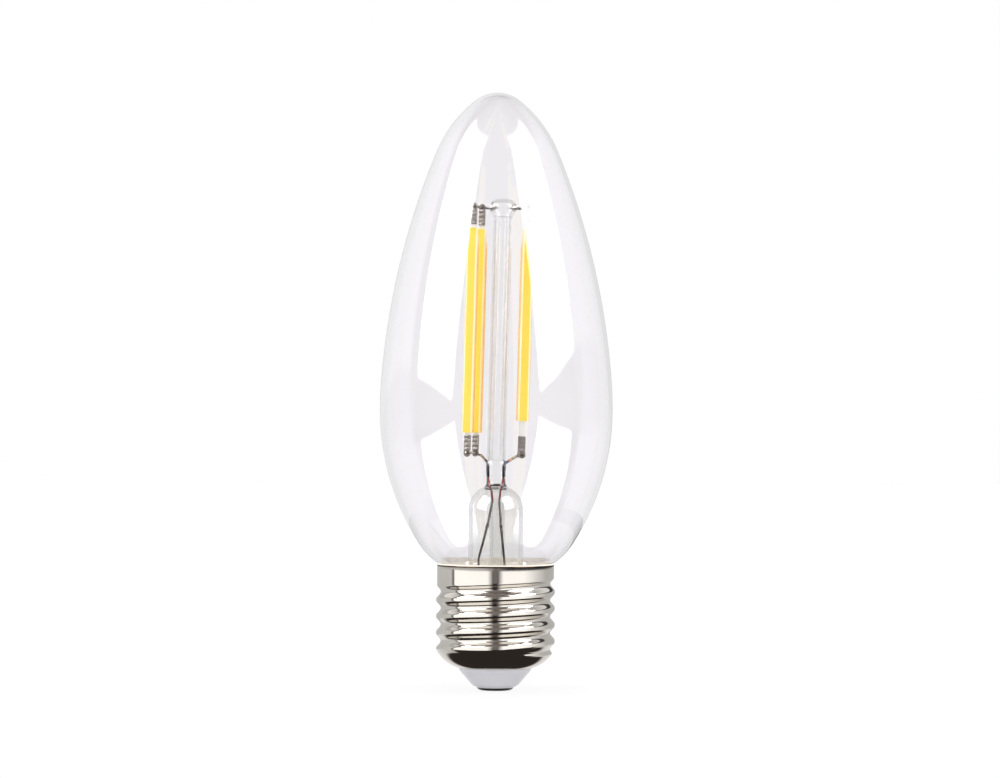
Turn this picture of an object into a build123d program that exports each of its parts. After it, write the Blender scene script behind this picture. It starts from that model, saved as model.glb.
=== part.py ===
from build123d import *
from math import acos, asin, atan2, cos, degrees, hypot, radians, sin
import os

# Candle lamp with LED filaments: origin on the face of the centre contact, +Z up the lamp's axis,
# the viewer of the front at -Y. Millimetres and degrees.

# Screw cap
thread_diameter = 26.3
thread_pitch = 25.4 / 7
thread_depth = 1.1
crest_flat = 0.075
thread_turns = 4.95
fade_turns = 0.4
thread_start_z = 5.45
cap_height = 27.8
rim_inset = 0.2
rim_height = 2.1
rim_shoulder = 0.3
shell_wall = 0.3
lip_diameter = 16.2
lip_z = 4.9
bowl_height = 5.3
bowl_bulge = 0.62

# Insulator and centre contact
contact_diameter = 8.0
contact_face_diameter = 6.4
contact_height = 0.55
rivet_diameter = 2.4
rivet_height = 2.6
insulator_foot_diameter = 11.0
insulator_foot_rise = 0.85
insulator_floor = 1.6
insulator_wall = 1.2
seat_ring_diameter = 16.6
seat_ring_z = 7.7
seat_gap = 0.05

# Driver inside the cap
board_gap = 1.3
board_thickness = 1.0
capacitor_diameter = 5.0
capacitor_height = 6.0
capacitor_offset = 5.2
rectifier_length = 4.7
rectifier_width = 3.9
rectifier_height = 2.4
rectifier_offset = 6.2
chip_length = 4.9
chip_width = 3.9
chip_height = 1.6
chip_offset = 5.4
fuse_diameter = 2.2
fuse_length = 3.0
fuse_wire_diameter = 0.5
neutral_wire_diameter = 0.45
neutral_wire_gap = 0.03
neutral_wire_top = 22.0

# Glass envelope: a chain of arcs, named by the direction of the glass where one arc meets the next
lamp_height = 132.4
belly_diameter = 51.6
belly_z = 62.0
tip_radius = 7.8
tip_angle = 52.0
shoulder_angle = 22.4
belly_radius_above = 92.0
belly_angle = 4.6
hip_angle = 33.2
mouth_angle = 58.1
throat_radius = 2.7
throat_drop = 2.4
glass_wall = 0.8
cement_thickness = 0.825
neck_depth = 12.3
cement_depth = 11.0
cement_gap_at_rim = 0.25

# Glass stem
flare_diameter = 12.2
flare_wall = 0.9
flare_seal_height = 1.0
flare_rise = 8.5
stem_shoulder_z = 39.9
stem_shoulder_radius = 5.5
press_fillet = 1.2
press_width = 4.4
press_thickness = 3.4
press_top_z = 51.0
pillar_diameter = 4.2
pillar_bore = 1.7
button_z = 106.9
button_diameter = 6.2
button_height = 3.8
bore_stop = 2.0
exhaust_diameter = 3.4
exhaust_bore = 2.0
exhaust_offset = 2.55
exhaust_end_z = 19.0

# Mount of the filaments: it leans a little to the right and is turned a little about the lamp's axis
mount_lean = 1.4
mount_turn = -7.0
front_spread = 6.1
back_spread = 5.1
front_depth = 3.2
back_depth = 3.2

# Wires of the mount
lead_diameter = 0.62
lead_bend = 0.9
lead_overrun = 2.8
lead_end = 0.75
lead_z = 52.4
lead_exit_drop = 0.75
press_lead_offset = 1.45
seal_wire_diameter = 0.5
seal_top_z = 47.2
seal_bottom_z = 42.0
seal_bottom_offset = 0.75
outer_lead_diameter = 0.5
weld_bead_diameter = 0.95
weld_bead_z = 36.4
left_weld_offset = 1.9
right_weld_offset = 1.15
left_lead_offset = 3.9
right_lead_offset = 1.9
lead_spread_z = 28.8
board_lead_offset = 3.4
support_overrun = 2.8
support_root = 1.3

# Filaments
tab_width = 1.4
tab_thickness = 0.75
tab_grip = 2.4
tab_cover = 0.5
tab_reach = 1.1
eye_diameter = 1.7
eye_gap = 0.02
strip_width = 1.1
strip_thickness = 0.4
jacket_width = 2.6
jacket_thickness = 1.9
jacket_round = 0.55
left_top_bare = 0.8
left_bottom_bare = 0.5
right_top_bare = 0.5
right_bottom_bare = 3.4
led_width = 0.5
led_length = 0.9
led_thickness = 0.15
led_spacing = 1.85
led_margin = 1.2

os.makedirs("parts", exist_ok=True)

thread_radius = thread_diameter / 2
thread_top = thread_radius + crest_flat
thread_root = thread_top - thread_depth
bore_radius = thread_root - shell_wall
rim_radius = thread_radius - rim_inset
rim_bore = rim_radius - shell_wall
rim_foot = cap_height - rim_height
neck_radius = bore_radius - cement_thickness
neck_end = cap_height - neck_depth
neck_bore = neck_radius - glass_wall
belly_radius = belly_diameter / 2
flare_radius = flare_diameter / 2
board_radius = bore_radius - board_gap
board_top = seat_ring_z + board_thickness
throat_z = cap_height - throat_drop


def lathe(*lines):
    # turns a closed outline of radius and height about the lamp's axis
    return revolve(Plane.XZ * make_face(lines), Axis.Z)


def wire(path, diameter):
    return sweep(Plane(path @ 0, z_dir=path % 0) * Circle(diameter / 2), path=path)


def upright(radius, bottom, top, at=(0, 0)):
    return Pos(at[0], at[1], bottom) * extrude(Circle(radius), amount=top - bottom)


# The mount above the press leans as one
lean = Pos(0, 0, press_top_z) * Rot(0, mount_lean, 0) * Pos(0, 0, -press_top_z)
turn = Rot(0, 0, mount_turn)


def leaning(x, y, z):
    return (lean * Pos(x, y, z)).position


# Knuckle thread: equal round crests and roots that meet in tangent arcs
def thread_valley():
    round_radius = (thread_depth ** 2 + thread_pitch ** 2 / 4) / (4 * thread_depth)
    root_centre = thread_root + round_radius
    crest_centre = thread_top - round_radius
    meet_r = (root_centre + crest_centre) / 2
    meet_z = thread_pitch / 4
    meet_angle = atan2(thread_pitch / 2 - meet_z, meet_r - crest_centre)
    edge_angle = 0.8 * acos(1 - crest_flat / round_radius)
    middle_angle = (meet_angle + edge_angle) / 2
    middle = (crest_centre + round_radius * cos(middle_angle), thread_pitch / 2 - round_radius * sin(middle_angle))
    edge = (crest_centre + round_radius * cos(edge_angle), thread_pitch / 2 - round_radius * sin(edge_angle))
    outside = thread_top + 0.8
    root = ThreePointArc((meet_r, -meet_z), (thread_root, 0), (meet_r, meet_z))
    above = ThreePointArc((meet_r, meet_z), middle, edge)
    below = ThreePointArc((meet_r, -meet_z), (middle[0], -middle[1]), (edge[0], -edge[1]))
    back = Polyline(edge, (outside, edge[1]), (outside, -edge[1]), (edge[0], -edge[1]))
    return make_face([root, above, below, back]), root_centre


def thread_groove():
    valley, centre = thread_valley()
    run = sweep(Plane.XZ * valley, path=Helix(thread_pitch, thread_pitch * thread_turns, centre), is_frenet=True)
    fade_rise = thread_pitch * fade_turns
    fade_angle = degrees(atan2(thread_depth + 0.25, fade_rise))
    fade_path = Helix(thread_pitch, fade_rise, centre, cone_angle=fade_angle)
    fade = sweep(Plane.XZ * valley, path=fade_path, is_frenet=True)
    fade = Pos(0, 0, thread_pitch * thread_turns) * Rot(0, 0, 360 * thread_turns) * fade
    return Pos(0, 0, thread_start_z) * run, Pos(0, 0, thread_start_z) * fade


# The bowl under the thread is one arc from the lip to the thread's outside
def bowl_arc(inset):
    lip = (lip_diameter / 2, lip_z)
    top = (thread_radius, lip_z + bowl_height)
    chord = hypot(top[0] - lip[0], top[1] - lip[1])
    along = ((top[0] - lip[0]) / chord, (top[1] - lip[1]) / chord)
    arc_radius = (chord ** 2 / 4 + bowl_bulge ** 2) / (2 * bowl_bulge)
    middle = ((lip[0] + top[0]) / 2, (lip[1] + top[1]) / 2)
    reach = arc_radius - bowl_bulge
    centre = (middle[0] - along[1] * reach, middle[1] + along[0] * reach)
    return centre, arc_radius - inset


def bowl_point(inset, radius):
    centre, arc_radius = bowl_arc(inset)
    across = radius - centre[0]
    return (radius, centre[1] - (arc_radius ** 2 - across ** 2) ** 0.5)


def bowl_line(inset, start, end):
    return ThreePointArc(bowl_point(inset, start), bowl_point(inset, (start + end) / 2), bowl_point(inset, end))


def cap_shell():
    lip = lip_diameter / 2
    step_z = rim_foot - rim_shoulder
    outside = bowl_line(0, lip, thread_radius)
    inside = bowl_line(shell_wall, lip, bore_radius)
    up = Polyline(outside @ 1, (thread_radius, step_z), (rim_radius, rim_foot), (rim_radius, cap_height),
                  (rim_bore, cap_height), (rim_bore, rim_foot + rim_shoulder), (bore_radius, step_z), inside @ 1)
    edge = Line(outside @ 0, inside @ 0)
    run, fade = thread_groove()
    return lathe(outside, up, inside, edge) - run - fade


def cap_insulator():
    lip = lip_diameter / 2 - seat_gap
    foot = insulator_foot_diameter / 2
    ring = seat_ring_diameter / 2
    inset = shell_wall + seat_gap
    seat = bowl_line(inset, lip, lip + 1.6)
    hollow = ring - insulator_wall
    floor_z = contact_height + insulator_floor
    hollow_foot = foot - insulator_wall
    outside = Polyline((rivet_diameter / 2, contact_height), (contact_diameter / 2, contact_height),
                       (foot, contact_height + insulator_foot_rise), (lip, lip_z), seat @ 0)
    inside = Polyline(seat @ 1, (ring, seat_ring_z), (hollow, seat_ring_z), (hollow, lip_z + 0.6),
                      (hollow_foot, floor_z), (rivet_diameter / 2, floor_z), (rivet_diameter / 2, contact_height))
    return lathe(outside, seat, inside)


def centre_contact():
    outline = Polyline((0, 0), (contact_face_diameter / 2, 0), (contact_diameter / 2, contact_height),
                       (rivet_diameter / 2, contact_height), (rivet_diameter / 2, contact_height + rivet_height),
                       (0, contact_height + rivet_height), (0, 0))
    return lathe(outline)


# Two lengths from two sums: a1 * x + b1 * y = c1 and a2 * x + b2 * y = c2
def solve_pair(a1, b1, c1, a2, b2, c2):
    share = a1 * b2 - a2 * b1
    return (c1 * b2 - c2 * b1) / share, (a1 * c2 - a2 * c1) / share


def way(angle):
    return Vector(cos(radians(angle)), sin(radians(angle)))


def arc_about(centre, radius, start, end):
    return ThreePointArc(centre + way(start) * radius, centre + way((start + end) / 2) * radius,
                         centre + way(end) * radius)


# Candle outline of the glass from the tip to the straight neck: each arc starts where the last one ends, in the
# same direction, and the side, shoulder, body and hip take the radii that close the chain
def candle_arcs(inset):
    belly = way(belly_angle)
    shoulder = way(shoulder_angle)
    tip = way(tip_angle)
    above_x = -belly_radius - belly_radius_above * (belly.X - 1) + tip_radius * tip.X
    above_z = lamp_height - belly_z - belly_radius_above * belly.Y - tip_radius * (1 - tip.Y)
    side_radius, shoulder_radius = solve_pair(shoulder.X - belly.X, tip.X - shoulder.X, above_x,
                                              shoulder.Y - belly.Y, tip.Y - shoulder.Y, above_z)
    hip = way(-hip_angle)
    mouth = way(-mouth_angle)
    below_x = neck_radius - belly_radius + throat_radius * (1 - mouth.X)
    below_z = belly_z - throat_z + throat_radius * mouth.Y
    body_radius, hip_radius = solve_pair(hip.X - 1, mouth.X - hip.X, below_x, -hip.Y, hip.Y - mouth.Y, below_z)
    belly_centre = Vector(belly_radius - belly_radius_above, belly_z)
    side_centre = belly_centre + belly * (belly_radius_above - side_radius)
    shoulder_centre = side_centre + shoulder * (side_radius - shoulder_radius)
    body_centre = Vector(belly_radius - body_radius, belly_z)
    hip_centre = body_centre + hip * (body_radius - hip_radius)
    return [arc_about(Vector(0, lamp_height - tip_radius), tip_radius - inset, 90, tip_angle),
            arc_about(shoulder_centre, shoulder_radius - inset, tip_angle, shoulder_angle),
            arc_about(side_centre, side_radius - inset, shoulder_angle, belly_angle),
            arc_about(belly_centre, belly_radius_above - inset, belly_angle, 0),
            arc_about(body_centre, body_radius - inset, 0, -hip_angle),
            arc_about(hip_centre, hip_radius - inset, -hip_angle, -mouth_angle),
            arc_about(Vector(neck_radius + throat_radius, throat_z), throat_radius + inset, 180 - mouth_angle, 180)]


def glass_filled():
    end = Polyline((neck_radius, throat_z), (neck_radius, neck_end), (0, neck_end), (0, lamp_height))
    return lathe(*candle_arcs(0), end)


def glass_envelope():
    end = Polyline((neck_radius, throat_z), (neck_radius, neck_end), (neck_bore, neck_end), (neck_bore, throat_z))
    tip = Line((0, lamp_height - glass_wall), (0, lamp_height))
    return lathe(*candle_arcs(0), end, *candle_arcs(glass_wall), tip)


def neutral_wire():
    out = bore_radius - neutral_wire_gap - neutral_wire_diameter / 2
    start = board_radius - 1.2
    path = FilletPolyline((start, 0, board_top), (start, 0, board_top + 2.5), (out, 0, board_top + 5),
                          (out, 0, neutral_wire_top), radius=1)
    return wire(path, neutral_wire_diameter)


def capping_cement(envelope, tail):
    top = cap_height - cement_gap_at_rim
    step_z = rim_foot - rim_shoulder
    foot = cap_height - cement_depth
    ring = lathe(Polyline((neck_bore, foot), (bore_radius, foot), (bore_radius, step_z),
                          (rim_bore, rim_foot + rim_shoulder), (rim_bore, top), (neck_bore, top), (neck_bore, foot)))
    return ring - envelope - tail


# Stem: the flare tube sealed into the neck, its round shoulder, and the press around the wires
tube_z = neck_end + flare_rise
press_neck = press_width / 2 - 0.1
fillet_across = press_neck + press_fillet - flare_radius + stem_shoulder_radius
press_foot = stem_shoulder_z + ((stem_shoulder_radius + press_fillet) ** 2 - fillet_across ** 2) ** 0.5
fillet_angle = degrees(atan2(press_foot - stem_shoulder_z, fillet_across))


def stem_flare(buried):
    seal_z = neck_end + flare_seal_height
    spread = neck_bore - flare_radius
    flare_arc = (spread ** 2 + (tube_z - seal_z) ** 2) / (2 * spread)
    flare_centre = Vector(flare_radius + flare_arc, tube_z)
    rim_angle = 180 + degrees(asin((tube_z - seal_z) / flare_arc))
    inner_arc = flare_arc + flare_wall
    foot_angle = 180 + degrees(asin((tube_z - neck_end) / inner_arc))
    inner_flare = arc_about(flare_centre, inner_arc, 180, foot_angle)
    outer_flare = arc_about(flare_centre, flare_arc, rim_angle, 180)
    shoulder_centre = Vector(flare_radius - stem_shoulder_radius, stem_shoulder_z)
    inner_shoulder_radius = stem_shoulder_radius - flare_wall
    roof_angle = 180 - degrees(acos(shoulder_centre.X / inner_shoulder_radius))
    inner_shoulder = arc_about(shoulder_centre, inner_shoulder_radius, roof_angle, 0)
    outer_shoulder = arc_about(shoulder_centre, stem_shoulder_radius, 0, fillet_angle)
    press_curve = arc_about(Vector(press_neck + press_fillet, press_foot), press_fillet, 180 + fillet_angle, 180)
    rim = Polyline(inner_flare @ 1, (neck_bore, neck_end), outer_flare @ 0)
    outer_tube = Line(outer_flare @ 1, outer_shoulder @ 0)
    middle = Polyline(press_curve @ 1, (0, press_foot), inner_shoulder @ 0)
    inner_tube = Line(inner_shoulder @ 1, inner_flare @ 0)
    body = lathe(rim, outer_flare, outer_tube, outer_shoulder, press_curve, middle, inner_shoulder, inner_tube,
                 inner_flare)
    press = extrude(Ellipse(press_width / 2, press_thickness / 2), amount=press_top_z - press_foot + 2)
    press = Pos(0, 0, press_foot - 1) * press
    cut = 4 * press_width
    above = lean * Pos(0, 0, press_top_z + cut / 2) * Box(cut, cut, cut)
    glass = body + (press - above)
    for piece in buried:
        glass = glass - piece
    return glass


def stem_pillar(buried):
    half = button_height / 2
    radius = pillar_diameter / 2
    neck_z = button_z - half
    top = (radius / 2, button_z + half)
    swell = ThreePointArc((radius, neck_z), (button_diameter / 2, button_z), top)
    bore_z = neck_z - bore_stop + half
    tube = Polyline((pillar_bore / 2, press_top_z), (radius, press_top_z), (radius, neck_z))
    inside = Polyline(top, (0, button_z + half), (0, bore_z), (pillar_bore / 2, bore_z),
                      (pillar_bore / 2, press_top_z))
    glass = lean * lathe(tube, swell, inside)
    for piece in buried:
        glass = glass - piece
    return glass


def exhaust_tube(stem):
    at = (0, exhaust_offset)
    top = press_foot
    outside = upright(exhaust_diameter / 2, exhaust_end_z, top, at)
    outside = fillet(outside.edges().sort_by(Axis.Z)[0], exhaust_diameter / 2 - 0.1)
    bore = upright(exhaust_bore / 2, exhaust_end_z + 1.2, top, at)
    tube = outside - bore - stem
    return tube.solids().sort_by(Axis.Z)[0]


# Each lead and support wire turns back so that its last run passes through the eyes of two filaments
def hook(side, z, overrun):
    back = leaning(side * back_spread, back_depth, z)
    front = leaning(side * front_spread, -front_depth, z)
    along = (front - back).normalized()
    return back - along * overrun, front + along * lead_end


def inner_lead(side):
    corner, end = hook(side, lead_z, lead_overrun)
    root = (side * press_lead_offset, 0, seal_top_z)
    exit_z = press_top_z - lead_exit_drop - lead_diameter / 2
    path = FilletPolyline(root, (side * press_lead_offset, 0, exit_z), corner, end, radius=lead_bend)
    return wire(path, lead_diameter)


def seal_wire(side):
    path = Line((side * press_lead_offset, 0, seal_top_z), (side * seal_bottom_offset, 0, seal_bottom_z))
    return upright_cut(wire(path, seal_wire_diameter))


def upright_cut(piece):
    # both ends are cut level where the next wire is welded on
    slab = Pos(0, 0, (seal_top_z + seal_bottom_z) / 2) * Box(flare_diameter, flare_diameter, seal_top_z - seal_bottom_z)
    return piece & slab


def outer_lead(side):
    weld = left_weld_offset if side < 0 else right_weld_offset
    low = left_lead_offset if side < 0 else right_lead_offset
    foot = board_lead_offset
    path = FilletPolyline((side * seal_bottom_offset, 0, seal_bottom_z), (side * weld, 0, weld_bead_z),
                          (side * low, 0, lead_spread_z), (side * foot, 0, board_top + 4),
                          (side * foot, 0, board_top), radius=1.5)
    bead = Pos(side * weld, 0, weld_bead_z) * Sphere(weld_bead_diameter / 2)
    level = Pos(0, 0, (seal_bottom_z + board_top) / 2) * Box(flare_diameter, flare_diameter, seal_bottom_z - board_top)
    return (wire(path, outer_lead_diameter) + bead) & level


def support_wire(side):
    corner, end = hook(side, button_z, support_overrun)
    root = leaning(side * support_root, 0.4, button_z)
    return wire(FilletPolyline(root, corner, end, radius=lead_bend), lead_diameter)


# Filament, drawn upright on its lower eye and then set between the eyes of its two wires
eye_span = button_z - lead_z
strip_foot = tab_reach + tab_cover
strip_head = eye_span - tab_reach - tab_cover
tab_inner_end = strip_foot + tab_grip


def filament_place(side, front):
    spread = front_spread if front else back_spread
    depth = -front_depth if front else back_depth
    across = degrees(atan2(side * (front_spread - back_spread), front_depth + back_depth))
    return lean * Pos(side * spread, depth, lead_z) * Rot(0, 0, across)


def bottom_tab():
    blade = Pos(0, tab_inner_end / 2) * Rectangle(tab_width, tab_inner_end)
    outline = blade + Circle(eye_diameter / 2) - Circle(lead_diameter / 2 + eye_gap)
    body = extrude(Plane.XZ * outline, amount=tab_thickness / 2, both=True)
    return body - filament_strip()


def top_tab():
    return Pos(0, 0, eye_span) * Rot(180, 0, 0) * bottom_tab()


def filament_strip():
    return Pos(0, 0, eye_span / 2) * Box(strip_width, strip_thickness, strip_head - strip_foot)


def jacket_ends(side):
    bottom_bare = left_bottom_bare if side < 0 else right_bottom_bare
    top_bare = left_top_bare if side < 0 else right_top_bare
    return tab_inner_end + bottom_bare, eye_span - tab_inner_end - top_bare


def led_chips(side):
    bottom, top = jacket_ends(side)
    first = bottom + led_margin
    count = int((top - led_margin - first) / led_spacing) + 1
    face = -strip_thickness / 2 - led_thickness / 2
    chips = [Pos(0, face, first + step * led_spacing) * Box(led_width, led_thickness, led_length)
             for step in range(count)]
    return Compound(children=chips)


def filament_jacket(side):
    bottom, top = jacket_ends(side)
    body = extrude(SlotOverall(jacket_width, jacket_thickness), amount=top - bottom)
    ends = body.edges().filter_by(lambda edge: edge.bounding_box().size.Z < 0.001)
    body = Pos(0, 0, bottom) * fillet(ends, jacket_round)
    body = body - filament_strip()
    for chip in led_chips(side).solids():
        body = body - chip
    return body


# Driver
def driver_board():
    board = upright(board_radius, seat_ring_z, board_top)
    return board - upright(fuse_wire_diameter / 2, 0, board_top + 1)


def smoothing_capacitor():
    can = upright(capacitor_diameter / 2, board_top, board_top + capacitor_height, (0, capacitor_offset))
    return fillet(can.edges().filter_by(GeomType.CIRCLE), 0.4)


def chip_body(length, width, height, offset):
    body = Pos(0, -offset, board_top + height / 2) * Box(length, width, height)
    return chamfer(body.edges().filter_by(Axis.Z), 0.3)


def fuse_resistor():
    body_foot = contact_height + rivet_height + 0.4
    body_head = body_foot + fuse_length
    radius = fuse_diameter / 2
    lead = fuse_wire_diameter / 2
    return lathe(Polyline((0, contact_height + rivet_height), (lead, contact_height + rivet_height),
                          (lead, body_foot), (radius, body_foot), (radius, body_head), (lead, body_head),
                          (lead, board_top), (0, board_top), (0, contact_height + rivet_height)))


leads = {"left": inner_lead(-1), "right": inner_lead(1)}
seals = {"left": seal_wire(-1), "right": seal_wire(1)}
tails = {"left": outer_lead(-1), "right": outer_lead(1)}
supports = {"left": support_wire(-1), "right": support_wire(1)}
wires_in_press = list(leads.values()) + list(seals.values()) + list(tails.values())
stem = stem_flare(wires_in_press)
pillar = stem_pillar(list(supports.values()) + list(leads.values()))
neutral = neutral_wire()

mount = {"stem_flare": stem, "stem_pillar": pillar, "exhaust_tube": exhaust_tube(stem)}
for name, side in (("left", -1), ("right", 1)):
    mount["inner_lead_" + name] = leads[name]
    mount["seal_wire_" + name] = seals[name]
    mount["outer_lead_" + name] = tails[name]
    mount["support_wire_" + name] = supports[name] - pillar
    for row, front in (("front", True), ("back", False)):
        place = filament_place(side, front)
        spot = "_" + name + "_" + row
        mount["bottom_tab" + spot] = place * bottom_tab()
        mount["top_tab" + spot] = place * top_tab()
        mount["filament_strip" + spot] = place * filament_strip()
        mount["filament_jacket" + spot] = place * filament_jacket(side)
        mount["led_chips" + spot] = place * led_chips(side)

fixed = {
    "cap_shell": cap_shell(),
    "cap_insulator": cap_insulator(),
    "centre_contact": centre_contact(),
    "glass_envelope": glass_envelope(),
    "capping_cement": capping_cement(glass_filled(), neutral),
    "neutral_wire": neutral,
    "driver_board": driver_board(),
    "fuse_resistor": fuse_resistor(),
}
driver = {
    "smoothing_capacitor": smoothing_capacitor(),
    "bridge_rectifier": Rot(0, 0, 60) * chip_body(rectifier_length, rectifier_width, rectifier_height, rectifier_offset),
    "driver_chip": Rot(0, 0, -60) * chip_body(chip_length, chip_width, chip_height, chip_offset),
}

for name, piece in mount.items():
    export_step(turn * piece, "parts/" + name + ".step")
for name, piece in driver.items():
    export_step(turn * piece, "parts/" + name + ".step")
for name, piece in fixed.items():
    export_step(piece, "parts/" + name + ".step")
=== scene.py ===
import bpy
import bmesh
from math import acos, asin, atan2, cos, degrees, floor, pi, radians, sin, sqrt, tan
from mathutils import Matrix, Vector


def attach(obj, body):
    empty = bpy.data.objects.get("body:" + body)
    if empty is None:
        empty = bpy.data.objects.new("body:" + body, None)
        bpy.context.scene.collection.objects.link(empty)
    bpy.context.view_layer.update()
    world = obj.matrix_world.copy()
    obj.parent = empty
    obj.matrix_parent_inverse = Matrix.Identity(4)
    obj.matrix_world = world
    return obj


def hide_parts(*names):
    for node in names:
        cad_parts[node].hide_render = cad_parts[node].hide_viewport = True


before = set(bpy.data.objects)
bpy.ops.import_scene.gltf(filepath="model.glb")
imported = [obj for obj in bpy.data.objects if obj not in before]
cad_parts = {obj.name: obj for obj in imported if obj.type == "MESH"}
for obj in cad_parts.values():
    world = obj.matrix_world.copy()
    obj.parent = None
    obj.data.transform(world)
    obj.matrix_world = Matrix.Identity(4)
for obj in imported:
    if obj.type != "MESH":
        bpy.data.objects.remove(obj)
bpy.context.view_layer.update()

mm = 0.001
hair = 0.01    # mm, heights this close count as the same


def addNode(tree, kind, settings=None, links=None):
    node = tree.nodes.new(kind)
    for key, value in (settings or {}).items():
        if isinstance(key, str) and hasattr(node, key):
            setattr(node, key, value)
        else:
            node.inputs[key].default_value = value
    for socket, source in (links or {}).items():
        tree.links.new(source, node.inputs[socket])
    return node


def hexColour(code):    # sRGB hex to the linear colour a shader reads
    parts = [int(code[i:i + 2], 16) / 255 for i in (1, 3, 5)]
    return [c / 12.92 if c <= 0.04045 else ((c + 0.055) / 1.055) ** 2.4 for c in parts] + [1]


def newMaterial(name, settings):    # spot is where a point lies on its object, in metres
    material = bpy.data.materials.new(name)
    material.use_nodes = True
    tree = material.node_tree
    shader = tree.nodes["Principled BSDF"]
    for key, value in settings.items():
        shader.inputs[key].default_value = value
    spot = addNode(tree, "ShaderNodeTexCoord").outputs["Object"]
    return material, tree, shader, spot


def nameActive(name):
    piece = bpy.context.object
    piece.name = piece.data.name = name
    return piece


def startPoint(name, x, z):    # one vertex to draw an outline from, in mm
    bpy.ops.object.select_all(action="DESELECT")
    bpy.ops.mesh.primitive_plane_add(size=mm, location=(x * mm, 0, z * mm))
    piece = nameActive(name)
    bpy.ops.object.transform_apply(location=True)
    bpy.ops.object.mode_set(mode="EDIT")
    bpy.ops.mesh.select_all(action="SELECT")
    bpy.ops.mesh.merge(type="CENTER")
    return piece


def pushBy(move):    # what is selected is extruded by a move in metres
    bpy.ops.mesh.extrude_region_move(TRANSFORM_OT_translate={"value": move})


def lineTo(x, z):    # the outline goes on straight to a point
    points = bmesh.from_edit_mesh(bpy.context.object.data).verts
    tip = next(v.co.copy() for v in points if v.select)
    pushBy((x * mm - tip.x, 0, z * mm - tip.z))


def arcRound(centre, turn, steps):    # the outline goes on round a centre, clockwise by turn degrees
    middle = (centre[0] * mm, 0, centre[1] * mm)
    bpy.ops.mesh.spin(steps=steps, angle=radians(turn), center=middle, axis=(0, -1, 0))


def spinOutline(steps):    # the outline turned once about the lamp's axis
    bpy.ops.mesh.select_all(action="SELECT")
    bpy.ops.mesh.spin(steps=steps, angle=2 * pi, center=(0, 0, 0), axis=(0, 0, 1))
    closeMesh()


def fillEnds():
    bpy.ops.mesh.select_all(action="SELECT")
    bpy.ops.mesh.fill_holes(sides=0)


def closeMesh():
    bpy.ops.mesh.select_all(action="SELECT")
    bpy.ops.mesh.remove_doubles(threshold=2e-6)
    bpy.ops.mesh.select_all(action="SELECT")
    bpy.ops.mesh.normals_make_consistent(inside=False)
    bpy.ops.object.mode_set(mode="OBJECT")


def onlyPiece(piece):
    bpy.ops.object.select_all(action="DESELECT")
    piece.select_set(True)
    bpy.context.view_layer.objects.active = piece


def placeMesh(piece, matrix):    # puts the place in the mesh, the object stays at the origin
    onlyPiece(piece)
    piece.matrix_world = matrix
    bpy.ops.object.transform_apply(location=True, rotation=True, scale=True)


def copyPiece(piece, name):    # a copy with its own mesh
    onlyPiece(piece)
    bpy.ops.object.duplicate()
    return nameActive(name)


def finishPiece(piece, material, slot, nodes, sharp=40):    # edges over sharp degrees stay crisp
    onlyPiece(piece)
    bpy.ops.object.shade_smooth_by_angle(angle=radians(sharp))
    piece.data.materials.clear()
    piece.data.materials.append(material)
    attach(piece, "root")
    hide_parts(*nodes)


def pickFaces(piece, test):    # edit mode with only the faces that pass the test selected
    bpy.ops.object.mode_set(mode="EDIT")
    bpy.ops.mesh.select_all(action="DESELECT")
    shape = bmesh.from_edit_mesh(piece.data)
    for face in shape.faces:
        face.select = bool(test(face))
    bmesh.update_edit_mesh(piece.data)


def pickPoints(piece, test):    # edit mode with only the vertices that pass the test selected
    bpy.ops.object.mode_set(mode="EDIT")
    bpy.ops.mesh.select_all(action="DESELECT")
    shape = bmesh.from_edit_mesh(piece.data)
    for point in shape.verts:
        point.select = bool(test(point.co))
    shape.select_flush_mode()
    bmesh.update_edit_mesh(piece.data)


# A wire is a round bar pushed along each run and spun round each corner, with its ends rounded by a share of
# its radius
wireForm = {"sides": 16, "bendSteps": 8, "endRound": 0.35, "endSteps": 2}


def bentWire(name, points, wireRadius, bendRadius):
    points = [Vector(p) * mm for p in points]
    run = (points[1] - points[0]).normalized()
    bpy.ops.object.select_all(action="DESELECT")
    bpy.ops.mesh.primitive_circle_add(vertices=wireForm["sides"], radius=wireRadius * mm, location=points[0],
                                      rotation=run.to_track_quat("Z", "Y").to_euler())
    piece = nameActive(name)
    bpy.ops.object.transform_apply(location=True, rotation=True)
    bpy.ops.object.mode_set(mode="EDIT")
    bpy.ops.mesh.select_all(action="SELECT")
    here = points[0]
    for i in range(1, len(points)):
        corner = i < len(points) - 1
        end = points[i]
        if corner:
            following = (points[i + 1] - points[i]).normalized()
            angle = run.angle(following)
            back = bendRadius * mm * tan(angle / 2)
            end = points[i] - run * back
        pushBy(end - here)
        here = end
        if corner:
            axis = run.cross(following).normalized()
            centre = end + axis.cross(run) * bendRadius * mm
            bpy.ops.mesh.spin(steps=wireForm["bendSteps"], angle=-angle, center=centre, axis=axis)
            here = points[i] + following * back
            run = following
    fillEnds()
    pickFaces(piece, lambda face: len(face.verts) > 4)    # the two ends
    bpy.ops.mesh.bevel(offset=wireRadius * mm * wireForm["endRound"], segments=wireForm["endSteps"],
                       affect="EDGES")
    closeMesh()
    return piece


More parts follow.
